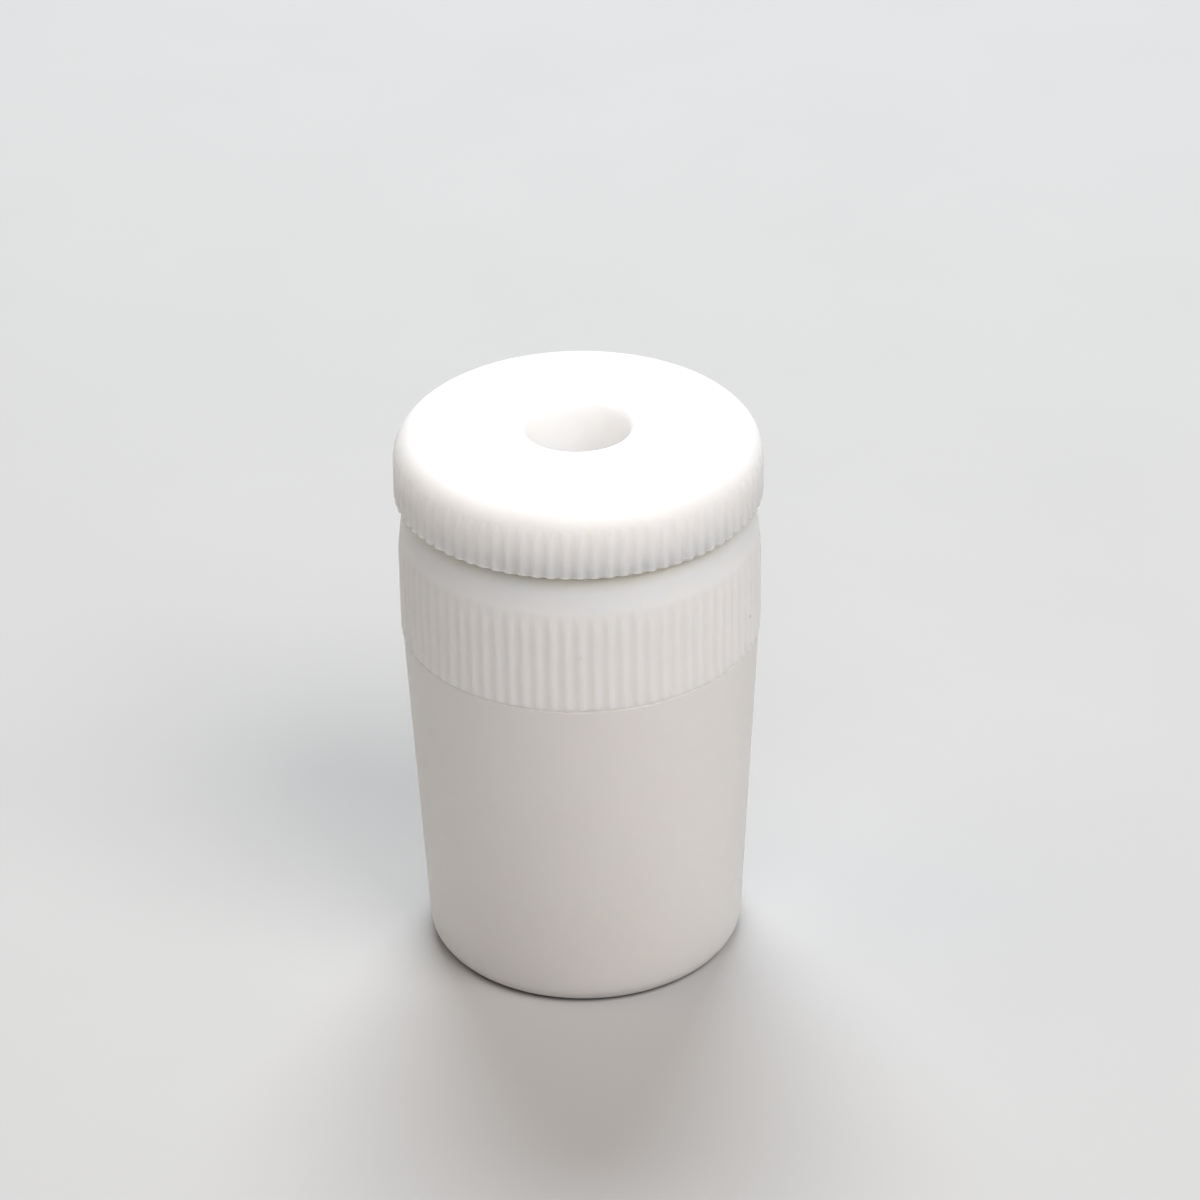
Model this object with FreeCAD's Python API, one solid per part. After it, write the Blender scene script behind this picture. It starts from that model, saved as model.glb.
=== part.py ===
import FreeCAD, Part

import math
import os

# Screw-down stirrer gland for a ground-glass flask neck, turned from PTFE.
# Millimetres, +Z up along the shaft axis, origin at the centre of the small bottom face of the cone.

# ---- driving dimensions ------------------------------------------------------------------------

# Standard-taper cone NS 34/35: large end 34.5, length 35, diameter falls 1 in 10.
CONE_TOP_RADIUS = 17.25
CONE_LENGTH = 35.0
CONE_RADIUS_PER_MM = 0.05
CONE_TIP_ROUNDING = 1.8
CONE_RELIEF_HEIGHT = 0.3
CONE_RELIEF_DEPTH = 0.18

# Ribbed grip bands, with the same rib count on the collar and on the cap.
RIB_COUNT = 80
RIB_CREST_SHARE = 0.30
RIB_FOOT_SHARE = 0.78

# Collar of the body. The ribs run out on a smooth shoulder that leans in under the cap.
COLLAR_CREST_RADIUS = 17.4
COLLAR_ROOT_RADIUS = 17.12
SHOULDER_START_Z = 43.2
SHOULDER_TOP_Z = 48.85
SHOULDER_ANGLE_DEG = 6.5

# Head of the gland cap.
CAP_UNDERSIDE_Z = 49.25
CAP_TOP_Z = 56.1
CAP_CREST_RADIUS = 17.6
CAP_ROOT_RADIUS = 17.2
CAP_TOP_ROUNDING = 3.3
CAP_EDGE_BREAK = 0.2
HOLE_LIP_ROUNDING = 0.6

# Passage for a 10 mm stirrer shaft, which both turnings guide.
SHAFT_RADIUS = 5.0
BORE_PLAY = 0.05
BORE_MOUTH_CHAMFER = 1.0

# Seal chamber in the body, and the rings stacked in it.
CHAMBER_RADIUS = 8.15
CHAMBER_FLOOR_Z = 20.0
CHAMBER_TOP_Z = 37.0
CHAMBER_MOUTH_CHAMFER = 0.5
O_RING_SECTION_RADIUS = 1.5
O_RING_CENTRE_RADIUS = 6.6
O_RING_COUNT = 3
FLAT_RING_BORE_RADIUS = 5.25
FLAT_RING_OUTER_RADIUS = 8.0
FLAT_RING_HEIGHT = 2.0
RING_EDGE_BREAK = 0.25
STACK_GAP = 0.02

# Trapezoidal right-hand thread between the cap's spigot and the body's socket.
THREAD_PITCH = 2.5
THREAD_PITCH_RADIUS = 12.4
THREAD_FLANK_ANGLE_DEG = 15.0
THREAD_FLANK_PLAY = 0.09
THREAD_DATUM_Z = 38.0
THREAD_OVERLAP = 0.3
SPIGOT_CREST_RADIUS = 12.95
SPIGOT_ROOT_RADIUS = 11.65
SPIGOT_NECK_BOTTOM_Z = 47.6
SOCKET_CREST_RADIUS = 11.85
SOCKET_ROOT_RADIUS = 13.15
SOCKET_RELIEF_TOP_Z = 39.6
THREAD_LEAD = 1.2

# Thrust ring, snapped onto a bead at the end of the cap's nose.
THRUST_RING_HEIGHT = 3.6
THRUST_RING_WEB = 1.8
NOSE_RADIUS = 6.8
NOSE_BEAD_RADIUS = 7.05
NOSE_BEAD_HEIGHT = 0.8
SNAP_PLAY = 0.1

# ---- sizes worked out from them ----------------------------------------------------------------

BORE_RADIUS = SHAFT_RADIUS + BORE_PLAY
CONE_BOTTOM_RADIUS = CONE_TOP_RADIUS - CONE_LENGTH * CONE_RADIUS_PER_MM
RELIEF_BOTTOM_Z = CONE_LENGTH - CONE_RELIEF_HEIGHT
RELIEF_TOP_RADIUS = CONE_TOP_RADIUS - CONE_RELIEF_HEIGHT * CONE_RADIUS_PER_MM
RELIEF_RADIUS = CONE_TOP_RADIUS - CONE_RELIEF_DEPTH
SHOULDER_RUN_IN = (SHOULDER_TOP_Z - SHOULDER_START_Z) * math.tan(math.radians(SHOULDER_ANGLE_DEG))
SHOULDER_TOP_RADIUS = COLLAR_CREST_RADIUS - SHOULDER_RUN_IN

AXIS = FreeCAD.Vector(0, 0, 1)
ORIGIN = FreeCAD.Vector(0, 0, 0)


def ring_stack():
    """Bottom height of every ring in the chamber, from the floor up."""
    levels = {}
    z = CHAMBER_FLOOR_Z + STACK_GAP
    levels["seat_ring"] = z
    z += FLAT_RING_HEIGHT + STACK_GAP
    for number in range(1, O_RING_COUNT + 1):
        levels["o_ring_" + str(number)] = z
        z += 2 * O_RING_SECTION_RADIUS + STACK_GAP
        if number < O_RING_COUNT:
            levels["spacer_ring_" + str(number)] = z
            z += FLAT_RING_HEIGHT + STACK_GAP
    levels["thrust_ring"] = z
    return levels


STACK = ring_stack()
THRUST_RING_BOTTOM_Z = STACK["thrust_ring"]
THRUST_RING_TOP_Z = THRUST_RING_BOTTOM_Z + THRUST_RING_HEIGHT
POCKET_FLOOR_Z = THRUST_RING_BOTTOM_Z + THRUST_RING_WEB
NOSE_END_Z = POCKET_FLOOR_Z + STACK_GAP
NOSE_BEAD_Z = NOSE_END_Z + NOSE_BEAD_HEIGHT / 2
SPIGOT_END_Z = THRUST_RING_TOP_Z + SNAP_PLAY


# ---- shape helpers -----------------------------------------------------------------------------

def point(radius, z):
    """A point of the half-plane that is turned about the axis."""
    return FreeCAD.Vector(radius, 0, z)


def rounded_corner(before, here, after, rounding):
    """Where an outline enters and leaves one corner, and the arc between, if it is rounded."""
    if rounding == 0:
        return here, None, here
    to_before = (before - here).normalize()
    to_after = (after - here).normalize()
    half_angle = to_before.getAngle(to_after) / 2
    set_back = rounding / math.tan(half_angle)
    start = here + to_before * set_back
    end = here + to_after * set_back
    bisector = (to_before + to_after).normalize()
    middle = here + bisector * (rounding / math.sin(half_angle) - rounding)
    return start, Part.Arc(start, middle, end).toShape(), end


def turned(*corners):
    """Solid turned about Z from (radius, z) or (radius, z, rounding) corners."""
    places = [point(corner[0], corner[1]) for corner in corners]
    count = len(corners)
    bends = []
    for i, corner in enumerate(corners):
        rounding = corner[2] if len(corner) == 3 else 0
        bends.append(rounded_corner(places[i - 1], places[i], places[(i + 1) % count], rounding))
    edges = []
    for i in range(count):
        arc, leaving = bends[i][1], bends[i][2]
        if arc:
            edges.append(arc)
        edges.append(Part.LineSegment(leaving, bends[(i + 1) % count][0]).toShape())
    return Part.Face(Part.Wire(edges)).revolve(ORIGIN, AXIS, 360)


def ribbed_prism(crest_radius, root_radius, bottom_z, top_z):
    """Straight prism whose section is a ring of flat-topped ribs."""
    pitch = 2 * math.pi / RIB_COUNT
    crest_half = pitch * RIB_CREST_SHARE / 2
    foot_half = pitch * RIB_FOOT_SHARE / 2
    rib_section = ((-foot_half, root_radius), (-crest_half, crest_radius),
                   (crest_half, crest_radius), (foot_half, root_radius))
    corners = []
    for rib in range(RIB_COUNT):
        for offset, radius in rib_section:
            angle = rib * pitch + offset
            corners.append(FreeCAD.Vector(radius * math.cos(angle), radius * math.sin(angle), bottom_z))
    corners.append(corners[0])
    return Part.Face(Part.makePolygon(corners)).extrude(AXIS * (top_z - bottom_z))


def thread_coil(inner_radius, outer_radius, flank_play, top_z):
    """Helical bar with the thread's section; its flanks stand flank_play outside the nominal."""
    flank_slope = math.tan(math.radians(THREAD_FLANK_ANGLE_DEG))
    half_widths = []
    for radius in (inner_radius, outer_radius):
        half_widths.append(THREAD_PITCH / 4 + flank_play - (radius - THREAD_PITCH_RADIUS) * flank_slope)
    inner_half, outer_half = half_widths
    section = Part.makePolygon([
        point(inner_radius, -inner_half), point(outer_radius, -outer_half),
        point(outer_radius, outer_half), point(inner_radius, inner_half),
        point(inner_radius, -inner_half)])
    helix = Part.makeLongHelix(THREAD_PITCH, top_z - THREAD_DATUM_Z, THREAD_PITCH_RADIUS)
    coil = Part.Wire(helix.Edges).makePipeShell([section], True, True)
    coil.translate(AXIS * THREAD_DATUM_Z)
    return coil


# ---- gland body --------------------------------------------------------------------------------

def gland_body():
    """Cone, ribbed collar and shoulder in one turning, with bore, chamber and threaded socket."""
    socket_groove = thread_coil(
        SOCKET_CREST_RADIUS - THREAD_OVERLAP, SOCKET_ROOT_RADIUS, THREAD_FLANK_PLAY,
        SHOULDER_TOP_Z + THREAD_PITCH)
    return body_outside().cut(body_passage().fuse(socket_groove))


def body_outside():
    cone = turned(
        (0, 0), (CONE_BOTTOM_RADIUS, 0, CONE_TIP_ROUNDING), (RELIEF_TOP_RADIUS, RELIEF_BOTTOM_Z),
        (RELIEF_RADIUS, RELIEF_BOTTOM_Z), (RELIEF_RADIUS, CONE_LENGTH), (0, CONE_LENGTH))
    collar_limits = turned(
        (0, CONE_LENGTH), (COLLAR_CREST_RADIUS, CONE_LENGTH),
        (COLLAR_CREST_RADIUS, SHOULDER_START_Z), (SHOULDER_TOP_RADIUS, SHOULDER_TOP_Z),
        (0, SHOULDER_TOP_Z))
    ribs = ribbed_prism(COLLAR_CREST_RADIUS, COLLAR_ROOT_RADIUS, CONE_LENGTH, SHOULDER_TOP_Z)
    return cone.fuse(ribs.common(collar_limits))


def body_passage():
    """Everything that is turned out of the body: bore, seal chamber and socket, bottom to top."""
    relief_radius = SOCKET_ROOT_RADIUS + SNAP_PLAY
    relief_chamfer = relief_radius - SOCKET_CREST_RADIUS
    return turned(
        (0, 0), (BORE_RADIUS + BORE_MOUTH_CHAMFER, 0), (BORE_RADIUS, BORE_MOUTH_CHAMFER),
        (BORE_RADIUS, CHAMBER_FLOOR_Z), (CHAMBER_RADIUS, CHAMBER_FLOOR_Z),
        (CHAMBER_RADIUS, CHAMBER_TOP_Z - CHAMBER_MOUTH_CHAMFER),
        (CHAMBER_RADIUS + CHAMBER_MOUTH_CHAMFER, CHAMBER_TOP_Z),
        (relief_radius, CHAMBER_TOP_Z), (relief_radius, SOCKET_RELIEF_TOP_Z - relief_chamfer),
        (SOCKET_CREST_RADIUS, SOCKET_RELIEF_TOP_Z),
        (SOCKET_CREST_RADIUS, SHOULDER_TOP_Z - THREAD_LEAD),
        (SOCKET_CREST_RADIUS + THREAD_LEAD, SHOULDER_TOP_Z), (0, SHOULDER_TOP_Z))


# ---- gland cap ---------------------------------------------------------------------------------

def gland_cap():
    """Ribbed head, threaded spigot, and nose with the bead that carries the thrust ring."""
    thread = thread_coil(
        SPIGOT_ROOT_RADIUS - THREAD_OVERLAP, SPIGOT_CREST_RADIUS, -THREAD_FLANK_PLAY,
        SPIGOT_NECK_BOTTOM_Z + THREAD_PITCH)
    solid = cap_head().fuse(cap_spigot()).fuse(thread.common(spigot_thread_limits()))
    return solid.cut(cap_passage())


def cap_head():
    head_limits = turned(
        (0, CAP_UNDERSIDE_Z), (CAP_CREST_RADIUS - CAP_EDGE_BREAK, CAP_UNDERSIDE_Z),
        (CAP_CREST_RADIUS, CAP_UNDERSIDE_Z + CAP_EDGE_BREAK),
        (CAP_CREST_RADIUS, CAP_TOP_Z, CAP_TOP_ROUNDING), (0, CAP_TOP_Z))
    return ribbed_prism(CAP_CREST_RADIUS, CAP_ROOT_RADIUS, CAP_UNDERSIDE_Z, CAP_TOP_Z).common(head_limits)


def cap_spigot():
    """Core of the spigot under its thread, with the nose and its snap bead below."""
    return turned(
        (0, NOSE_END_Z), (NOSE_RADIUS, NOSE_END_Z), (NOSE_BEAD_RADIUS, NOSE_BEAD_Z),
        (NOSE_RADIUS, NOSE_END_Z + NOSE_BEAD_HEIGHT), (NOSE_RADIUS, SPIGOT_END_Z),
        (SPIGOT_ROOT_RADIUS - THREAD_OVERLAP, SPIGOT_END_Z),
        (SPIGOT_ROOT_RADIUS, SPIGOT_END_Z + THREAD_OVERLAP),
        (SPIGOT_ROOT_RADIUS, CAP_UNDERSIDE_Z), (0, CAP_UNDERSIDE_Z))


def spigot_thread_limits():
    """Turned outline that trims the thread to its crest and tapers it out at both ends."""
    inner_radius = SPIGOT_ROOT_RADIUS - THREAD_OVERLAP
    taper = SPIGOT_CREST_RADIUS - inner_radius
    return turned(
        (0, SPIGOT_END_Z), (inner_radius, SPIGOT_END_Z),
        (SPIGOT_CREST_RADIUS, SPIGOT_END_Z + taper),
        (SPIGOT_CREST_RADIUS, SPIGOT_NECK_BOTTOM_Z - taper),
        (inner_radius, SPIGOT_NECK_BOTTOM_Z), (0, SPIGOT_NECK_BOTTOM_Z))


def cap_passage():
    """Shaft hole, whose top edge swells out in a quarter round."""
    hole = turned((0, NOSE_END_Z), (BORE_RADIUS, NOSE_END_Z), (BORE_RADIUS, CAP_TOP_Z), (0, CAP_TOP_Z))
    mouth_radius = BORE_RADIUS + HOLE_LIP_ROUNDING
    lip_bottom_z = CAP_TOP_Z - HOLE_LIP_ROUNDING
    mouth = turned((0, lip_bottom_z), (mouth_radius, lip_bottom_z), (mouth_radius, CAP_TOP_Z), (0, CAP_TOP_Z))
    lip = Part.makeTorus(mouth_radius, HOLE_LIP_ROUNDING, point(0, lip_bottom_z), AXIS)
    return hole.fuse(mouth.cut(lip))


# ---- rings in the seal chamber -----------------------------------------------------------------

def flat_ring(bottom_z):
    """PTFE ring with broken edges, loose on the shaft and in the chamber."""
    top_z = bottom_z + FLAT_RING_HEIGHT
    return turned(
        (FLAT_RING_BORE_RADIUS, bottom_z + RING_EDGE_BREAK),
        (FLAT_RING_BORE_RADIUS + RING_EDGE_BREAK, bottom_z),
        (FLAT_RING_OUTER_RADIUS - RING_EDGE_BREAK, bottom_z),
        (FLAT_RING_OUTER_RADIUS, bottom_z + RING_EDGE_BREAK),
        (FLAT_RING_OUTER_RADIUS, top_z - RING_EDGE_BREAK),
        (FLAT_RING_OUTER_RADIUS - RING_EDGE_BREAK, top_z),
        (FLAT_RING_BORE_RADIUS + RING_EDGE_BREAK, top_z),
        (FLAT_RING_BORE_RADIUS, top_z - RING_EDGE_BREAK))


def o_ring(bottom_z):
    """Round-section rubber ring lying in the chamber."""
    centre = point(0, bottom_z + O_RING_SECTION_RADIUS)
    return Part.makeTorus(O_RING_CENTRE_RADIUS, O_RING_SECTION_RADIUS, centre, AXIS)


def thrust_ring():
    """Ring that the cap pushes down; its top pocket has a groove for the bead of the nose."""
    pocket_radius = NOSE_RADIUS + SNAP_PLAY
    groove_half = NOSE_BEAD_HEIGHT / 2 + SNAP_PLAY
    return turned(
        (FLAT_RING_BORE_RADIUS, THRUST_RING_BOTTOM_Z + RING_EDGE_BREAK),
        (FLAT_RING_BORE_RADIUS + RING_EDGE_BREAK, THRUST_RING_BOTTOM_Z),
        (FLAT_RING_OUTER_RADIUS - RING_EDGE_BREAK, THRUST_RING_BOTTOM_Z),
        (FLAT_RING_OUTER_RADIUS, THRUST_RING_BOTTOM_Z + RING_EDGE_BREAK),
        (FLAT_RING_OUTER_RADIUS, THRUST_RING_TOP_Z), (pocket_radius, THRUST_RING_TOP_Z),
        (pocket_radius, NOSE_BEAD_Z + groove_half), (NOSE_BEAD_RADIUS + SNAP_PLAY, NOSE_BEAD_Z),
        (pocket_radius, NOSE_BEAD_Z - groove_half), (pocket_radius, POCKET_FLOOR_Z),
        (FLAT_RING_BORE_RADIUS, POCKET_FLOOR_Z))


# ---- all sub-parts -----------------------------------------------------------------------------

def sub_parts():
    """Every sub-part by node name."""
    shapes = {"gland_body": gland_body(), "gland_cap": gland_cap(), "thrust_ring": thrust_ring()}
    for name, bottom_z in STACK.items():
        if name.startswith("o_ring"):
            shapes[name] = o_ring(bottom_z)
        elif name != "thrust_ring":
            shapes[name] = flat_ring(bottom_z)
    return shapes


os.makedirs("parts", exist_ok=True)
for node, shape in sub_parts().items():
    shape.exportStep("parts/" + node + ".step")
    print(node, "solids", len(shape.Solids), "faces", len(shape.Faces),
          "volume", round(shape.Volume, 1), "valid", shape.isValid())
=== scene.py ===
import math

import bpy
import numpy as np
from mathutils import Matrix, Vector


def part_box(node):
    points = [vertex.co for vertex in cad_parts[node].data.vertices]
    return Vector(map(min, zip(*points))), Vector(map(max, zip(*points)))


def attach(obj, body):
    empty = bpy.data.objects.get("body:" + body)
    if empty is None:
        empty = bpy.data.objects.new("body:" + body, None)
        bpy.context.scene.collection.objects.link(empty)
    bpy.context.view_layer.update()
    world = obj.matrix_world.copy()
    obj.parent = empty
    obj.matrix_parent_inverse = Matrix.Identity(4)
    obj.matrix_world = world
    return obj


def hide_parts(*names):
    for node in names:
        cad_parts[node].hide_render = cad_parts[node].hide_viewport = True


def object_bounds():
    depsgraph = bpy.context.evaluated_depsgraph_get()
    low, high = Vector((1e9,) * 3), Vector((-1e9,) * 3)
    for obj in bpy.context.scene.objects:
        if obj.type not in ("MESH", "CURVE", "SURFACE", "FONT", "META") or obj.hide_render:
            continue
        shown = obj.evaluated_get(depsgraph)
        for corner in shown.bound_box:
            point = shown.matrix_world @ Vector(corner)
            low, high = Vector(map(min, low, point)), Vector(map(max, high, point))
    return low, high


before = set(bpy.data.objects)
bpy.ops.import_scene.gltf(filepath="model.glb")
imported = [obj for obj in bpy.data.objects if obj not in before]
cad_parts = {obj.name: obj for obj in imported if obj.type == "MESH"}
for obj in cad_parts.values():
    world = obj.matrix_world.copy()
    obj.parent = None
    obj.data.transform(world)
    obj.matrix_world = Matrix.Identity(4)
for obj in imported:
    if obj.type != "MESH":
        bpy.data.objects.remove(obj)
cad_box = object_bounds()

# Looks of a screw-down stirrer gland turned from PTFE. Metres, in the frame's axes: Z is the shaft axis.

MM = 0.001
SNAP_PLAY = 0.1 * MM
STACK_GAP = 0.02 * MM

# ---- sizes read from the frame -----------------------------------------------------------------

BODY_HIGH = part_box("gland_body")[1]
CAP_LOW, CAP_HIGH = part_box("gland_cap")
THRUST_LOW, THRUST_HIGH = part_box("thrust_ring")

SHOULDER_TOP_Z = BODY_HIGH.z
COLLAR_CREST = BODY_HIGH.y
CAP_TOP_Z = CAP_HIGH.z
CAP_CREST = CAP_HIGH.y
NOSE_END_Z = CAP_LOW.z
SPIGOT_END_Z = THRUST_HIGH.z + SNAP_PLAY

# ---- sizes of the turned details ---------------------------------------------------------------

CONE_LENGTH = 35.0 * MM
CONE_TOP = 17.25 * MM
CONE_SLOPE = 0.05
CONE_BOTTOM = CONE_TOP - CONE_LENGTH * CONE_SLOPE
CONE_TIP_ROUNDING = 1.8 * MM
RELIEF_HEIGHT = 0.3 * MM
RELIEF_RADIUS = CONE_TOP - 0.18 * MM

RIB_COUNT = 80
COLLAR_RIB_DEPTH = 0.28 * MM
CAP_RIB_DEPTH = 0.40 * MM
RIB_CREST_HALF = 0.10
RIB_FOOT_HALF = 0.36
RIB_EASING = 0.02 * MM
SHOULDER_START_Z = 43.2 * MM
SHOULDER_ANGLE = math.radians(6.5)
RIB_RUN_OUT = 2.8 * MM
RIBS_END_Z = 45.2 * MM
OUTSIDE_RADIUS = 16.0 * MM
NICK_ANGLE = math.radians(-21.25)
NICK_Z = 38.6 * MM
NICK_SIZE = 0.36 * MM
SHOULDER_TOP = COLLAR_CREST - (SHOULDER_TOP_Z - SHOULDER_START_Z) * math.tan(SHOULDER_ANGLE)

CAP_UNDERSIDE_Z = 49.25 * MM
CAP_TOP_ROUNDING = 3.3 * MM
HOLE_LIP_ROUNDING = 0.6 * MM

BORE = 5.05 * MM
BORE_CHAMFER = 1.0 * MM
CHAMBER = 8.15 * MM
CHAMBER_CHAMFER = 0.5 * MM
CHAMBER_FLOOR_Z = 20.0 * MM
CHAMBER_TOP_Z = 37.0 * MM

THREAD_PITCH = 2.5 * MM
THREAD_PITCH_RADIUS = 12.4 * MM
THREAD_SLOPE = math.tan(math.radians(15.0))
THREAD_PLAY = 0.09 * MM
THREAD_DATUM_Z = 38.0 * MM
THREAD_ROW_STEP = 0.07 * MM
THREAD_EASING = 0.02 * MM
SPIGOT_CREST = 12.95 * MM
SPIGOT_ROOT = 11.65 * MM
SPIGOT_NECK_Z = 47.6 * MM
SOCKET_CREST = 11.85 * MM
SOCKET_ROOT = 13.15 * MM
SOCKET_RELIEF = 13.25 * MM
SOCKET_RELIEF_TOP_Z = 39.6 * MM
THREAD_LEAD = 1.2 * MM
THREAD_OVERLAP = 0.3 * MM

NOSE = 6.8 * MM
NOSE_BEAD = 7.05 * MM
NOSE_BEAD_HEIGHT = 0.8 * MM
RING_BORE = 5.25 * MM

EDGE = 0.08 * MM
SOFT_EDGE = 0.15 * MM
RING_EDGE = 0.25 * MM
ARC_STEPS = 5


# ---- outlines: (radius, z) rows walked up the outside and down the bore --------------------------

def rounded_outline(corners):
    """Rows of a closed outline from (radius, z, rounding, steps) corners, with rows that hold each arc."""
    rows = []
    count = len(corners)
    for i, corner in enumerate(corners):
        here = Vector(corner[:2])
        rounding = corner[2] if len(corner) > 2 else 0.0
        steps = corner[3] if len(corner) > 3 else ARC_STEPS
        if rounding == 0.0:
            rows.append(here)
            continue
        to_before = Vector(corners[i - 1][:2]) - here
        to_after = Vector(corners[(i + 1) % count][:2]) - here
        room = min(share_of_side(corners[i - 1]) * to_before.length,
                   share_of_side(corners[(i + 1) % count]) * to_after.length)
        to_before.normalize()
        to_after.normalize()
        half_angle = to_before.angle(to_after) / 2
        set_back = min(rounding / math.tan(half_angle), room)
        radius = set_back * math.tan(half_angle)
        centre = here + (to_before + to_after).normalized() * (radius / math.sin(half_angle))
        start = here + to_before * set_back
        end = here + to_after * set_back
        hold = min(set_back * 0.5, room * 0.1)
        rows.append(start + to_before * hold)
        for step in range(steps + 1):
            mixed = (start - centre).lerp(end - centre, step / steps)
            if 0 < step < steps:
                mixed = slerp_2d(start - centre, end - centre, step / steps)
            rows.append(centre + mixed)
        rows.append(end + to_after * hold)
    return rows


def share_of_side(neighbour):
    """How much of a side one corner may take, by whether the corner at its other end is rounded too."""
    return 0.45 if len(neighbour) > 2 and neighbour[2] > 0.0 else 0.9


def slerp_2d(a, b, t):
    """Vector turned from a towards b by the share t of the angle between them."""
    angle = a.angle(b)
    return (a * math.sin((1 - t) * angle) + b * math.sin(t * angle)) / math.sin(angle)


def run(start, end, step):
    """Evenly spaced points between two corners, without the corners themselves."""
    a, b = Vector(start), Vector(end)
    count = max(1, round((b - a).length / step))
    return [tuple(a.lerp(b, i / count)) for i in range(1, count)]


# ---- ribs and threads as radius over angle and height --------------------------------------------

def smooth_step(x):
    x = np.clip(x, 0.0, 1.0)
    return x * x * (3.0 - 2.0 * x)


def rib_radius(angle, crest, depth, seed):
    """Radius of the ribbed wall at each angle, with small differences from rib to rib."""
    chance = np.random.default_rng(seed)
    height = 1.0 + 0.10 * chance.uniform(-1.0, 0.0, RIB_COUNT)
    lean = 0.02 * chance.uniform(-1.0, 1.0, RIB_COUNT)
    turn = angle * RIB_COUNT / (2 * math.pi)
    rib = np.round(turn).astype(int) % RIB_COUNT
    away = np.abs(turn - np.round(turn) - lean[rib])
    rise = 1.0 - smooth_step((away - RIB_CREST_HALF) / (RIB_FOOT_HALF - RIB_CREST_HALF))
    return crest - depth + depth * rise * height[rib]


def soft_min(a, b, softness):
    """Smaller of two radii, eased where they cross."""
    return -softness * np.logaddexp(-a / softness, -b / softness)


def soft_max(a, b, softness):
    """Larger of two radii, eased where they cross."""
    return -soft_min(-a, -b, softness)


def thread_radius(angle, z, crest, play):
    """Radius of the helical thread's flanks at each angle of one height, up to its crest."""
    turn = (z - THREAD_DATUM_Z) / THREAD_PITCH - angle / (2 * math.pi)
    away = THREAD_PITCH * np.abs(turn - np.round(turn))
    flank = THREAD_PITCH_RADIUS + (THREAD_PITCH / 4 + play - away) / THREAD_SLOPE
    return soft_min(flank, crest, THREAD_EASING)


# ---- turned meshes -------------------------------------------------------------------------------

RIB_PHASES = (0.0, 0.10, 0.19, 0.28, 0.5, 0.72, 0.81, 0.90)
FINE_ANGLES = np.array([(rib + phase) * 2 * math.pi / RIB_COUNT
                        for rib in range(RIB_COUNT) for phase in RIB_PHASES])
COARSE_ANGLES = FINE_ANGLES[::len(RIB_PHASES) // 2]
FAN = len(FINE_ANGLES) // len(COARSE_ANGLES)


def turned_piece(name, rows):
    """Closed mesh from (angles, radii, z, groove) rows; ring counts may differ by the factor FAN."""
    points, grooves, starts, faces = [], [], [], []
    for angles, radii, z, groove in rows:
        starts.append(sum(len(p) for p in points))
        ring = np.empty((len(angles), 3))
        ring[:, 0] = radii * np.cos(angles)
        ring[:, 1] = radii * np.sin(angles)
        ring[:, 2] = z
        points.append(ring)
        grooves.append(np.broadcast_to(groove, len(angles)))
    for i in range(len(rows)):
        after = (i + 1) % len(rows)
        faces += ring_faces(starts[i], len(rows[i][0]), starts[after], len(rows[after][0]))
    mesh = bpy.data.meshes.new(name)
    mesh.from_pydata(np.concatenate(points).tolist(), [], faces)
    attribute = mesh.attributes.new("groove", "FLOAT", "POINT")
    attribute.data.foreach_set("value", np.concatenate(grooves).astype(np.float32))
    mesh.shade_smooth()
    mesh.set_sharp_from_angle(angle=math.radians(50))
    piece = bpy.data.objects.new(name, mesh)
    bpy.context.scene.collection.objects.link(piece)
    return piece


def ring_faces(a, count_a, b, count_b):
    """Faces between two rings of vertices that start at a and b."""
    faces = []
    if count_a == count_b:
        for j in range(count_a):
            k = (j + 1) % count_a
            faces.append((a + j, a + k, b + k, b + j))
    elif count_a > count_b:
        for j in range(count_b):
            fine = [a + (j * FAN + step) % count_a for step in range(FAN + 1)]
            faces.append((*fine, b + (j + 1) % count_b, b + j))
    else:
        for j in range(count_a):
            fine = [b + (j * FAN + step) % count_b for step in range(FAN, -1, -1)]
            faces.append((a + j, a + (j + 1) % count_a, *fine))
    return faces


def plain_row(angles, row):
    return angles, np.full(len(angles), row[0]), row[1], 0.0


def ribbed_row(row, crest, depth, seed):
    """Row of a ribbed wall: the ribs where they stand inside the turned outline."""
    ribs = rib_radius(FINE_ANGLES, crest + RIB_EASING, depth, seed)
    radii = soft_min(np.full(len(FINE_ANGLES), row[0]), ribs, RIB_EASING)
    groove = np.clip((crest - ribs) / depth, 0.0, 1.0) * np.clip((row[0] - radii) / depth * 3, 0.0, 1.0)
    return FINE_ANGLES, radii, row[1], groove


# ---- the two turnings ----------------------------------------------------------------------------

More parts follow.
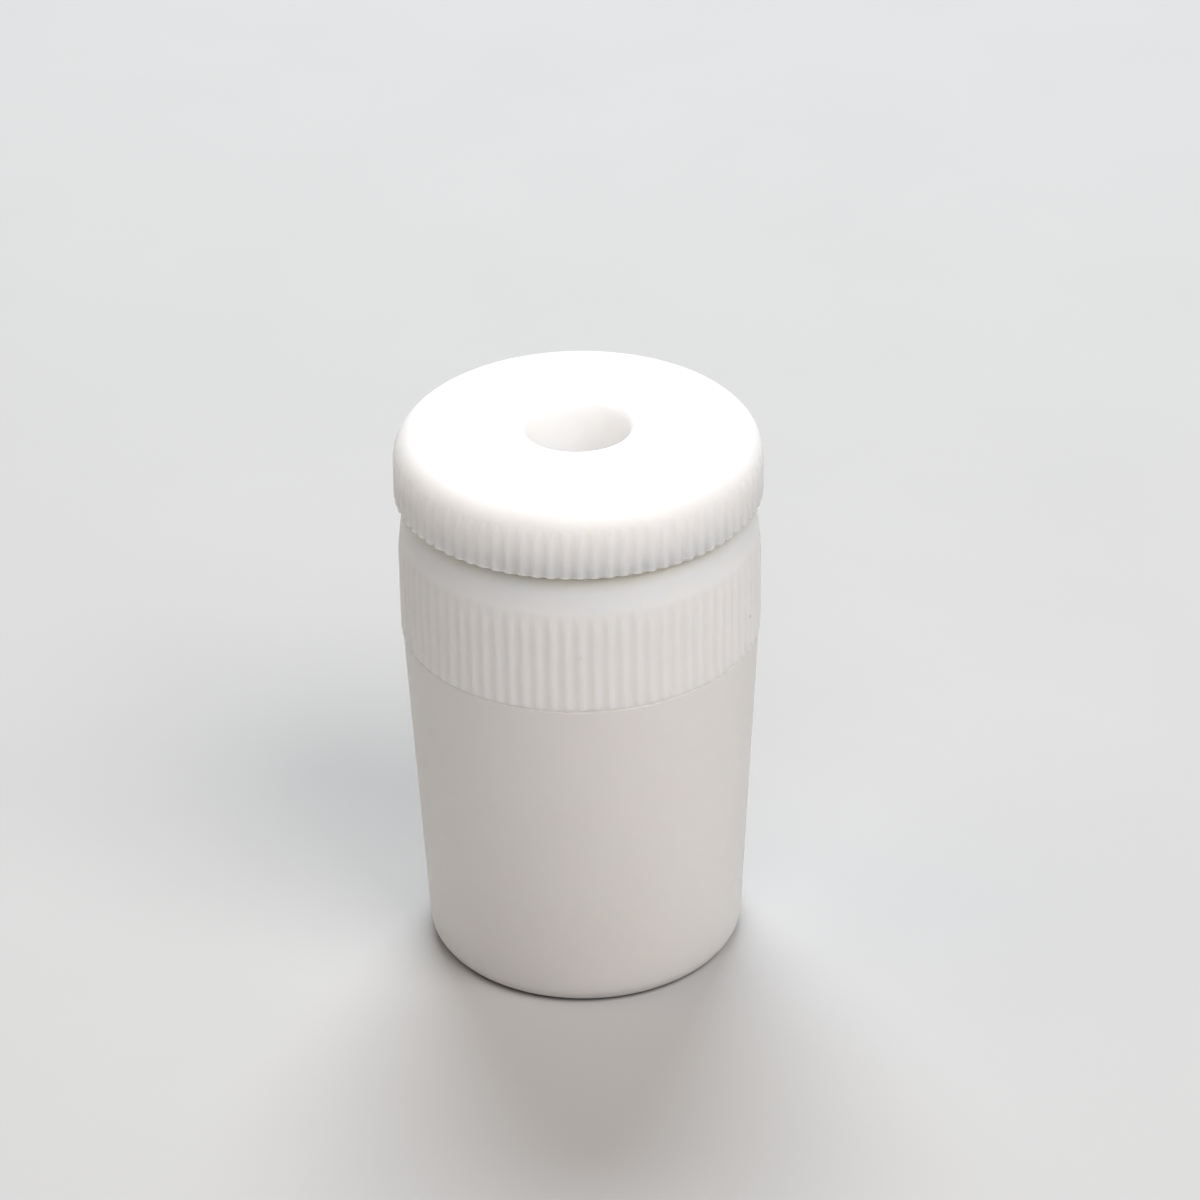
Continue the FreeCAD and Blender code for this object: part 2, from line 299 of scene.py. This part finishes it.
def gland_body():
    """Cone, ribbed collar, shoulder, threaded socket, seal chamber and bore in one closed mesh."""
    relief_z = CONE_LENGTH - RELIEF_HEIGHT
    cone_end = (CONE_TOP - RELIEF_HEIGHT * CONE_SLOPE, relief_z)
    rib_end_z = SHOULDER_START_Z + RIB_RUN_OUT
    rib_end = (COLLAR_CREST - (rib_end_z - SHOULDER_START_Z) * math.tan(SHOULDER_ANGLE), rib_end_z)
    outside = rounded_outline([
        (BORE, BORE_CHAMFER, SOFT_EDGE), (BORE + BORE_CHAMFER, 0.0, SOFT_EDGE),
        (CONE_BOTTOM, 0.0, CONE_TIP_ROUNDING, 12),
        *run((CONE_BOTTOM, 0.0), cone_end, 4.0 * MM),
        (*cone_end, EDGE), (RELIEF_RADIUS, relief_z, EDGE / 2), (RELIEF_RADIUS, CONE_LENGTH, EDGE / 2),
        (COLLAR_CREST, CONE_LENGTH, EDGE),
        *run((COLLAR_CREST, CONE_LENGTH), (COLLAR_CREST, SHOULDER_START_Z), 2.0 * MM),
        (COLLAR_CREST, SHOULDER_START_Z, 2 * SOFT_EDGE),
        *run((COLLAR_CREST, SHOULDER_START_Z), rib_end, 0.14 * MM)[1:],
        *run(rib_end, (SHOULDER_TOP, SHOULDER_TOP_Z), 0.6 * MM),
        (SHOULDER_TOP, SHOULDER_TOP_Z, SOFT_EDGE), (SOCKET_CREST + THREAD_LEAD, SHOULDER_TOP_Z, SOFT_EDGE),
        (SOCKET_CREST, SHOULDER_TOP_Z - THREAD_LEAD),
        *run((SOCKET_CREST, SHOULDER_TOP_Z - THREAD_LEAD), (SOCKET_CREST, SOCKET_RELIEF_TOP_Z),
             THREAD_ROW_STEP),
        (SOCKET_CREST, SOCKET_RELIEF_TOP_Z),
        (SOCKET_RELIEF, SOCKET_RELIEF_TOP_Z - SOCKET_RELIEF + SOCKET_CREST, EDGE),
        (SOCKET_RELIEF, CHAMBER_TOP_Z, SOFT_EDGE), (CHAMBER + CHAMBER_CHAMFER, CHAMBER_TOP_Z, EDGE),
        (CHAMBER, CHAMBER_TOP_Z - CHAMBER_CHAMFER, EDGE), (CHAMBER, CHAMBER_FLOOR_Z, EDGE),
        (BORE, CHAMBER_FLOOR_Z, EDGE)])
    rows = []
    socket_side = False
    for row in outside:
        if row[1] > SHOULDER_TOP_Z - EDGE and row[0] < SHOULDER_TOP - 0.5 * MM:
            socket_side = True
        if socket_side:
            radius = row[0]
            if SOCKET_RELIEF_TOP_Z - 1.5 * MM < row[1] < SHOULDER_TOP_Z + EDGE and radius > CHAMBER + 1 * MM:
                thread = thread_radius(COARSE_ANGLES, row[1], SOCKET_ROOT, THREAD_PLAY)
                rows.append((COARSE_ANGLES, soft_max(radius, thread, THREAD_EASING), row[1], 0.0))
            else:
                rows.append(plain_row(COARSE_ANGLES, row))
        elif row[1] >= CONE_LENGTH - EDGE / 8 and row[0] > RELIEF_RADIUS + EDGE:
            rows.append(ribbed_row(row, COLLAR_CREST, COLLAR_RIB_DEPTH, 3))
        elif row[0] < BORE + 2.0 * MM:
            rows.append(plain_row(COARSE_ANGLES, row))
        else:
            rows.append(plain_row(FINE_ANGLES, row))
    return turned_piece("gland_body_turning", rows)


def gland_cap():
    """Ribbed head, threaded spigot and nose of the cap in one closed mesh."""
    bead_z = NOSE_END_Z + NOSE_BEAD_HEIGHT / 2
    spigot_inner = SPIGOT_ROOT - THREAD_OVERLAP
    crest_z = CAP_TOP_Z - CAP_TOP_ROUNDING
    outline = rounded_outline([
        (BORE, NOSE_END_Z, SOFT_EDGE), (NOSE, NOSE_END_Z, EDGE), (NOSE_BEAD, bead_z, EDGE),
        (NOSE, NOSE_END_Z + NOSE_BEAD_HEIGHT, EDGE), (NOSE, SPIGOT_END_Z, EDGE),
        (spigot_inner, SPIGOT_END_Z, EDGE),
        *run((SPIGOT_ROOT, SPIGOT_END_Z + THREAD_OVERLAP), (SPIGOT_ROOT, SPIGOT_NECK_Z), THREAD_ROW_STEP),
        (SPIGOT_ROOT, CAP_UNDERSIDE_Z, 2 * SOFT_EDGE),
        (CAP_CREST, CAP_UNDERSIDE_Z, 0.2 * MM),
        *run((CAP_CREST, CAP_UNDERSIDE_Z), (CAP_CREST, crest_z), 1.2 * MM),
        (CAP_CREST, CAP_TOP_Z, CAP_TOP_ROUNDING, 40),
        *run((CAP_CREST - CAP_TOP_ROUNDING, CAP_TOP_Z), (BORE, CAP_TOP_Z), 1.6 * MM)[:-1],
        (BORE, CAP_TOP_Z, HOLE_LIP_ROUNDING, 10),
        *run((BORE, CAP_TOP_Z), (BORE, NOSE_END_Z), 3.0 * MM)])
    rows = []
    for radius, z in outline:
        row = (radius, z)
        if SPIGOT_END_Z + EDGE < z < SPIGOT_NECK_Z + EDGE and radius > NOSE + 1 * MM:
            limit = min(SPIGOT_CREST, spigot_inner + min(z - SPIGOT_END_Z, SPIGOT_NECK_Z - z))
            thread = thread_radius(COARSE_ANGLES, z, limit, -THREAD_PLAY)
            rows.append((COARSE_ANGLES, soft_max(radius, thread, THREAD_EASING), z, 0.0))
        elif z > CAP_UNDERSIDE_Z - EDGE and radius > CAP_CREST - CAP_TOP_ROUNDING * 0.6:
            rows.append(ribbed_row(row, CAP_CREST, CAP_RIB_DEPTH, 7))
        elif z > CAP_UNDERSIDE_Z - EDGE and radius > SPIGOT_CREST + 0.5 * MM:
            rows.append(plain_row(FINE_ANGLES, row))
        else:
            rows.append(plain_row(COARSE_ANGLES, row))
    return turned_piece("gland_cap_turning", rows)


# ---- rings ---------------------------------------------------------------------------------------

def flat_ring(node):
    """PTFE ring with rounded edges, from its CAD box."""
    low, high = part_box(node)
    outline = rounded_outline([
        (RING_BORE, low.z, RING_EDGE), (high.y, low.z, RING_EDGE),
        (high.y, high.z, RING_EDGE), (RING_BORE, high.z, RING_EDGE)])
    return turned_piece(node + "_turned", [plain_row(COARSE_ANGLES, row) for row in outline])


def o_ring(node):
    """Rubber ring with the fine flash line of its mould round the inside and the outside."""
    low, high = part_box(node)
    section = (high.z - low.z) / 2
    flash = 0.04 * MM
    centre = high.y - section
    rows = []
    steps = 64
    for step in range(steps):
        angle = 2 * math.pi * step / steps
        reach = section - flash + flash * (1.0 if step % (steps // 2) == 0 else 0.0)
        rows.append(plain_row(COARSE_ANGLES, (
            centre - reach * math.cos(angle), low.z + section - (section - flash) * math.sin(angle))))
    return turned_piece(node + "_moulded", rows)


def thrust_ring():
    """Ring with the pocket that snaps over the bead of the nose."""
    low, high = THRUST_LOW, THRUST_HIGH
    bead_z = NOSE_END_Z + NOSE_BEAD_HEIGHT / 2
    half = NOSE_BEAD_HEIGHT / 2 + SNAP_PLAY
    pocket = NOSE + SNAP_PLAY
    floor_z = NOSE_END_Z - STACK_GAP
    outline = rounded_outline([
        (RING_BORE, low.z, RING_EDGE), (high.y, low.z, RING_EDGE), (high.y, high.z, EDGE),
        (pocket, high.z, EDGE), (pocket, bead_z + half, EDGE), (NOSE_BEAD + SNAP_PLAY, bead_z, EDGE),
        (pocket, bead_z - half), (pocket, floor_z, EDGE / 2), (RING_BORE, floor_z, EDGE)])
    return turned_piece("thrust_ring_turned", [plain_row(COARSE_ANGLES, row) for row in outline])


# ---- materials -----------------------------------------------------------------------------------

def material(name):
    """Empty node material and a short way to add and link its nodes."""
    made = bpy.data.materials.new(name)
    made.use_nodes = True
    tree = made.node_tree
    tree.nodes.clear()
    output = tree.nodes.new("ShaderNodeOutputMaterial")
    shader = tree.nodes.new("ShaderNodeBsdfPrincipled")
    tree.links.new(shader.outputs["BSDF"], output.inputs["Surface"])
    return made, tree, shader


def add(tree, kind, values=None, **settings):
    """New node with settings, and inputs given as values or as sockets to link from."""
    node = tree.nodes.new(kind)
    for key, value in settings.items():
        setattr(node, key, value)
    for key, value in (values or {}).items():
        if isinstance(value, bpy.types.NodeSocket):
            tree.links.new(value, node.inputs[key])
        else:
            node.inputs[key].default_value = value
    return node


def maths(tree, operation, a, b=0.0, clamp=False):
    return add(tree, "ShaderNodeMath", {0: a, 1: b}, operation=operation, use_clamp=clamp).outputs[0]


def lathe_coordinates(tree):
    """Object position, radius, height, and the vector (radius, 0, height) a lathe tool marks along."""
    position = add(tree, "ShaderNodeTexCoord").outputs["Object"]
    parts = add(tree, "ShaderNodeSeparateXYZ", {0: position})
    squares = maths(tree, "ADD", maths(tree, "MULTIPLY", parts.outputs[0], parts.outputs[0]),
                    maths(tree, "MULTIPLY", parts.outputs[1], parts.outputs[1]))
    radius = maths(tree, "SQRT", squares)
    turned = add(tree, "ShaderNodeCombineXYZ", {"X": radius, "Z": parts.outputs[2]}).outputs[0]
    return position, radius, parts.outputs[2], turned


def blend(tree, factor, a, b, mode="MIX"):
    """Colour of a changed towards b, or multiplied by it, by a factor."""
    mixed = add(tree, "ShaderNodeMix", {"Factor": factor, "A": a, "B": b}, data_type="RGBA", blend_type=mode)
    return mixed.outputs["Result"]


def noise(tree, vector, scale, seed, detail=2.0):
    return add(tree, "ShaderNodeTexNoise", {"Vector": vector, "W": seed, "Scale": scale, "Detail": detail},
               noise_dimensions="4D").outputs["Fac"]


def stretch(tree, value, low, high, to_low=0.0, to_high=1.0):
    """Value carried from one range to another and held at its ends."""
    ranged = add(tree, "ShaderNodeMapRange", {
        "Value": value, "From Min": low, "From Max": high, "To Min": to_low, "To Max": to_high})
    return ranged.outputs["Result"]


def nick(tree, position, centre, size, seed):
    """Mask of the painted shade of one small nick with a ragged edge."""
    away = add(tree, "ShaderNodeVectorMath", {0: position, 1: centre}, operation="SUBTRACT").outputs[0]
    shaped = add(tree, "ShaderNodeVectorMath", {0: away, 1: (1.0, 1.0, 1.6)}, operation="MULTIPLY").outputs[0]
    distance = add(tree, "ShaderNodeVectorMath", {0: shaped}, operation="LENGTH").outputs["Value"]
    fringe = stretch(tree, noise(tree, position, 4000.0, seed), 0.3, 0.7, -size, size)
    ragged = maths(tree, "ADD", distance, fringe)
    return stretch(tree, ragged, 1.3 * size, 0.5 * size)


def ptfe(name, seed, light_depth, groove_shade_share=1.0, gap_shade_band=None, cone_top=0.0, nick_at=None):
    """Waxy white PTFE: light inside, a soft gloss, lathe marks, clouds and a few specks, with painted shade
    and painted light.

    light_depth is how far light travels inside, and groove_shade_share how much the grooves between ribs are
    darkened, painted shade.
    gap_shade_band is the height where painted shade from the gap fades out, the height where it is full, and
    its tint.
    Below cone_top the colour is darker, painted shade, and above the ribs it is lighter, painted light;
    nick_at is the place of one small nick whose shade is painted as a dark spot.
    """
    made, tree, shader = material(name)
    position, radius, height, turned = lathe_coordinates(tree)
    clouds = noise(tree, position, 140.0, seed, 3.0)
    colour = blend(tree, clouds, (0.905, 0.888, 0.870, 1.0), (0.930, 0.918, 0.905, 1.0))
    mottle = stretch(tree, noise(tree, position, 700.0, seed + 1.0), 0.35, 0.65)
    colour = blend(tree, maths(tree, "MULTIPLY", mottle, 0.25), colour, (0.90, 0.875, 0.86, 1.0))

    # Painted shade: the grooves between the ribs are darkened in patches, in place of the shade that falls
    # into them.
    groove = add(tree, "ShaderNodeAttribute", attribute_name="groove").outputs["Fac"]
    groove_shade_noise = noise(tree, position, 260.0, seed + 2.0)
    groove_shade_patches = stretch(tree, groove_shade_noise, 0.3, 0.7, 0.7 * groove_shade_share, groove_shade_share)
    groove_shade = maths(tree, "MULTIPLY", groove, groove_shade_patches)
    colour = blend(tree, groove_shade, colour, (0.975, 0.970, 0.965, 1.0), "MULTIPLY")

    # Painted highlight and wear: convex edges and rib crests are lighter in patches, a painted highlight; the
    # same mask makes them a little smoother, as rubbing does.
    pointiness = add(tree, "ShaderNodeNewGeometry").outputs["Pointiness"]
    rubbed = stretch(tree, noise(tree, position, 320.0, seed + 3.0), 0.35, 0.6)
    edge_highlight_and_wear = maths(tree, "MULTIPLY", stretch(tree, pointiness, 0.515, 0.56), rubbed)
    # Painted shade: concave corners outside the rib grooves are darkened with a warm tint.
    off_groove = maths(tree, "SUBTRACT", 1.0, groove)
    hollow_shade = maths(tree, "MULTIPLY", stretch(tree, pointiness, 0.48, 0.44), off_groove)
    colour = blend(tree, maths(tree, "MULTIPLY", hollow_shade, 0.5), colour, (0.86, 0.82, 0.78, 1.0), "MULTIPLY")
    colour = blend(tree, maths(tree, "MULTIPLY", edge_highlight_and_wear, 0.35), colour, (0.95, 0.945, 0.935, 1.0))

    # Painted light: the bore wall and its lip are lighter, in place of the light inside the hole.
    bore_painted_light = stretch(tree, radius, BORE + 0.9 * MM, BORE + 0.4 * MM, 0.0, 0.9)
    colour = blend(tree, bore_painted_light, colour, (0.975, 0.965, 0.955, 1.0))
    if cone_top:
        # Painted light and shade: the shoulder above the ribs is lighter, and the cone below the collar is
        # darker.
        shoulder_painted_light = stretch(tree, height, RIBS_END_Z - 0.4 * MM, RIBS_END_Z + 0.4 * MM)
        colour = blend(tree, maths(tree, "MULTIPLY", shoulder_painted_light, 0.8), colour, (0.975, 0.97, 0.955, 1.0))
        cone_painted_shade = stretch(tree, height, cone_top, cone_top - 0.4 * MM)
        colour = blend(tree, cone_painted_shade, colour, (0.925, 0.915, 0.905, 1.0), "MULTIPLY")
    # Painted shade where the cap overhangs the body: patches darkened near the gap, yellowish on the top of
    # the shoulder, dark brown on the cap's lower edge.
    if gap_shade_band:
        shade_free_z, full_shade_z, gap_shade_tint = gap_shade_band
        rim = maths(tree, "MULTIPLY", stretch(tree, height, shade_free_z, full_shade_z),
                    stretch(tree, radius, OUTSIDE_RADIUS, OUTSIDE_RADIUS + 0.5 * MM))
        patches = stretch(tree, noise(tree, position, 180.0, seed + 5.0), 0.3, 0.7, 0.6, 1.0)
        gap_painted_shade = maths(tree, "MULTIPLY", rim, patches)
        colour = blend(tree, gap_painted_shade, colour, gap_shade_tint, "MULTIPLY")

    cells = add(tree, "ShaderNodeTexVoronoi", {"Vector": position, "Scale": 210.0})
    chance = add(tree, "ShaderNodeSeparateXYZ", {0: cells.outputs["Color"]}).outputs[0]
    chosen = stretch(tree, chance, 0.90, 0.93)
    specks = maths(tree, "MULTIPLY", stretch(tree, cells.outputs["Distance"], 0.045, 0.02), chosen)
    colour = blend(tree, maths(tree, "MULTIPLY", specks, 0.15), colour, (0.55, 0.50, 0.44, 1.0))
    # Painted shade: a dark spot stands in for the shade inside a small nick that the mesh does not have.
    if nick_at:
        dent_shade = nick(tree, position, nick_at, NICK_SIZE, seed)
        colour = blend(tree, maths(tree, "MULTIPLY", dent_shade, 0.9), colour, (0.20, 0.19, 0.17, 1.0))
    tree.links.new(colour, shader.inputs["Base Color"])

    marks = add(tree, "ShaderNodeTexNoise", {"Vector": turned, "Scale": 5200.0, "Detail": 2.0}).outputs["Fac"]
    fine_bump = add(tree, "ShaderNodeBump", {"Height": marks, "Strength": 0.25, "Distance": 0.00002})
    waves = noise(tree, position, 420.0, seed + 4.0)
    bump = add(tree, "ShaderNodeBump", {
        "Height": waves, "Strength": 0.12, "Distance": 0.0001, "Normal": fine_bump.outputs[0]})
    tree.links.new(bump.outputs[0], shader.inputs["Normal"])
    roughness = stretch(tree, mottle, 0.0, 1.0, 0.38, 0.47)
    tree.links.new(maths(tree, "SUBTRACT", roughness, maths(tree, "MULTIPLY", edge_highlight_and_wear, 0.08)),
                   shader.inputs["Roughness"])
    shader.inputs["IOR"].default_value = 1.38
    shader.inputs["Subsurface Weight"].default_value = 1.0
    shader.inputs["Subsurface Radius"].default_value = (1.0, 0.93, 0.86)
    shader.inputs["Subsurface Scale"].default_value = light_depth
    return made


def rubber(name):
    """Matt black fluoro rubber with a faint bloom, and painted sheen on its rubbed high spots."""
    made, tree, shader = material(name)
    position = lathe_coordinates(tree)[0]
    grain = noise(tree, position, 2500.0, 1.0)
    bloom = stretch(tree, noise(tree, position, 300.0, 2.0, 3.0), 0.4, 0.7)
    colour = blend(tree, grain, (0.012, 0.011, 0.011, 1.0), (0.035, 0.033, 0.032, 1.0))
    colour = blend(tree, maths(tree, "MULTIPLY", bloom, 0.4), colour, (0.07, 0.067, 0.064, 1.0))
    # Painted sheen: the rubbed convex high spots are lighter in colour.
    pointiness = add(tree, "ShaderNodeNewGeometry").outputs["Pointiness"]
    edge_highlight_and_wear = stretch(tree, pointiness, 0.51, 0.54)
    colour = blend(tree, maths(tree, "MULTIPLY", edge_highlight_and_wear, 0.4), colour, (0.06, 0.058, 0.056, 1.0))
    tree.links.new(colour, shader.inputs["Base Color"])
    bump = add(tree, "ShaderNodeBump", {"Height": grain, "Strength": 0.3, "Distance": 0.00002})
    tree.links.new(bump.outputs[0], shader.inputs["Normal"])
    tree.links.new(stretch(tree, bloom, 0.0, 1.0, 0.48, 0.66), shader.inputs["Roughness"])
    return made


# ---- putting the pieces on the frame -------------------------------------------------------------

def place(piece, node, body, finish):
    piece.data.materials.append(finish)
    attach(piece, body)
    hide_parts(node)


def build_object():
    nick_at = (COLLAR_CREST * math.cos(NICK_ANGLE), COLLAR_CREST * math.sin(NICK_ANGLE), NICK_Z)
    # The gap bands are painted shade under the cap's overhang.
    body_gap_shade = (SHOULDER_TOP_Z - 1.5 * MM, SHOULDER_TOP_Z - 0.3 * MM, (0.95, 0.91, 0.80, 1.0))
    cap_gap_shade = (CAP_UNDERSIDE_Z + 0.26 * MM, CAP_UNDERSIDE_Z + 0.06 * MM, (0.60, 0.52, 0.42, 1.0))
    body_finish = ptfe("ptfe_body", 1.0, 3.5 * MM, 1.0, body_gap_shade, CONE_LENGTH, nick_at)
    cap_finish = ptfe("ptfe_cap", 5.0, 7.5 * MM, 0.2, cap_gap_shade)
    ring_finish = ptfe("ptfe_ring", 9.0, 4.0 * MM)
    rubber_finish = rubber("fluoro_rubber")
    place(gland_body(), "gland_body", "gland", body_finish)
    place(gland_cap(), "gland_cap", "cap", cap_finish)
    place(thrust_ring(), "thrust_ring", "follower", ring_finish)
    for node in ("seat_ring", "spacer_ring_1", "spacer_ring_2"):
        place(flat_ring(node), node, "gland", ring_finish)
    for node in ("o_ring_1", "o_ring_2", "o_ring_3"):
        place(o_ring(node), node, "gland", rubber_finish)


# ---- camera, floor and light ---------------------------------------------------------------------

SOFTBOX_SIZE = 0.6
VIEW_ELEVATION = math.radians(31.42)
VIEW_DISTANCE = 425.8 * MM
VIEW_ROLL = math.radians(-1.015)
VIEW_LENS = 130.85
AIM_RIGHT = 1.76 * MM
AIM_UP = 7.49 * MM
AIM_ABOVE_MIDDLE = 0.12 * MM


def camera():
    """Long lens from the front, looking down; the object stands a little left of and below the middle."""
    low, high = cad_box
    middle = Vector((0.0, 0.0, (low[2] + high[2]) / 2 + AIM_ABOVE_MIDDLE))
    right = Vector((1.0, 0.0, 0.0))
    up = Vector((0.0, math.sin(VIEW_ELEVATION), math.cos(VIEW_ELEVATION)))
    ahead = Vector((0.0, math.cos(VIEW_ELEVATION), -math.sin(VIEW_ELEVATION)))
    tilted_right = right * math.cos(VIEW_ROLL) + up * math.sin(VIEW_ROLL)
    tilted_up = up * math.cos(VIEW_ROLL) - right * math.sin(VIEW_ROLL)
    place_at = middle - ahead * VIEW_DISTANCE
    look = (middle + tilted_right * AIM_RIGHT + tilted_up * AIM_UP - place_at).normalized()
    side = look.cross(tilted_up).normalized()
    top = side.cross(look)
    data = bpy.data.cameras.new("camera")
    data.lens = VIEW_LENS
    data.sensor_width = 36.0
    data.clip_start = 0.01
    made = bpy.data.objects.new("camera", data)
    made.matrix_world = Matrix((
        (side.x, top.x, -look.x, place_at.x), (side.y, top.y, -look.y, place_at.y),
        (side.z, top.z, -look.z, place_at.z), (0, 0, 0, 1)))
    bpy.context.scene.collection.objects.link(made)
    bpy.context.scene.camera = made


def floor():
    """Wide pale table top at the foot of the cone."""
    half = 3.0
    drop = -0.01 * MM
    mesh = bpy.data.meshes.new("floor")
    corners = [(-half, -half, drop), (half, -half, drop), (half, half, drop), (-half, half, drop)]
    mesh.from_pydata(corners, [], [(0, 1, 2, 3)])
    made = bpy.data.objects.new("floor", mesh)
    finish, tree, shader = material("pale_floor")
    position = add(tree, "ShaderNodeTexCoord").outputs["Object"]
    grain = add(tree, "ShaderNodeTexNoise", {"Vector": position, "Scale": 40.0}).outputs["Fac"]
    tint = add(tree, "ShaderNodeMix", {
        "Factor": grain, "A": (0.50, 0.50, 0.50, 1.0), "B": (0.52, 0.52, 0.52, 1.0)}, data_type="RGBA")
    tree.links.new(tint.outputs["Result"], shader.inputs["Base Color"])
    shader.inputs["Roughness"].default_value = 0.8
    shader.inputs["Specular IOR Level"].default_value = 0.1
    mesh.materials.append(finish)
    bpy.context.scene.collection.objects.link(made)


def softbox(name, place_at, power, tint):
    """Round softbox that faces the object."""
    data = bpy.data.lights.new(name, "AREA")
    data.shape = "DISK"
    data.size = SOFTBOX_SIZE
    data.energy = power
    data.color = tint
    made = bpy.data.objects.new(name, data)
    made.location = place_at
    made.rotation_euler = (-Vector(place_at)).to_track_quat("-Z", "Y").to_euler()
    bpy.context.scene.collection.objects.link(made)


def lights():
    """Strong light from above and behind, and softer ones above the camera and on both sides."""
    softbox("back_top", (0.0, 0.6, 0.8), 10.4, (0.90, 0.95, 0.99))
    softbox("front_top", (0.0, -0.55, 0.85), 2.7, (1.0, 0.96, 0.98))
    softbox("front_right", (0.42, -0.42, 0.8), 5.4, (1.0, 0.955, 0.92))
    softbox("left", (-0.6, 0.0, 0.8), 1.1, (1.0, 0.78, 0.52))
    world = bpy.data.worlds.new("studio")
    world.use_nodes = True
    surround = world.node_tree.nodes["Background"]
    surround.inputs["Color"].default_value = (1.0, 0.96, 0.92, 1.0)
    surround.inputs["Strength"].default_value = 0.04
    bpy.context.scene.world = world
    bpy.context.scene.view_settings.view_transform = "Standard"


camera()
floor()
lights()
build_object()
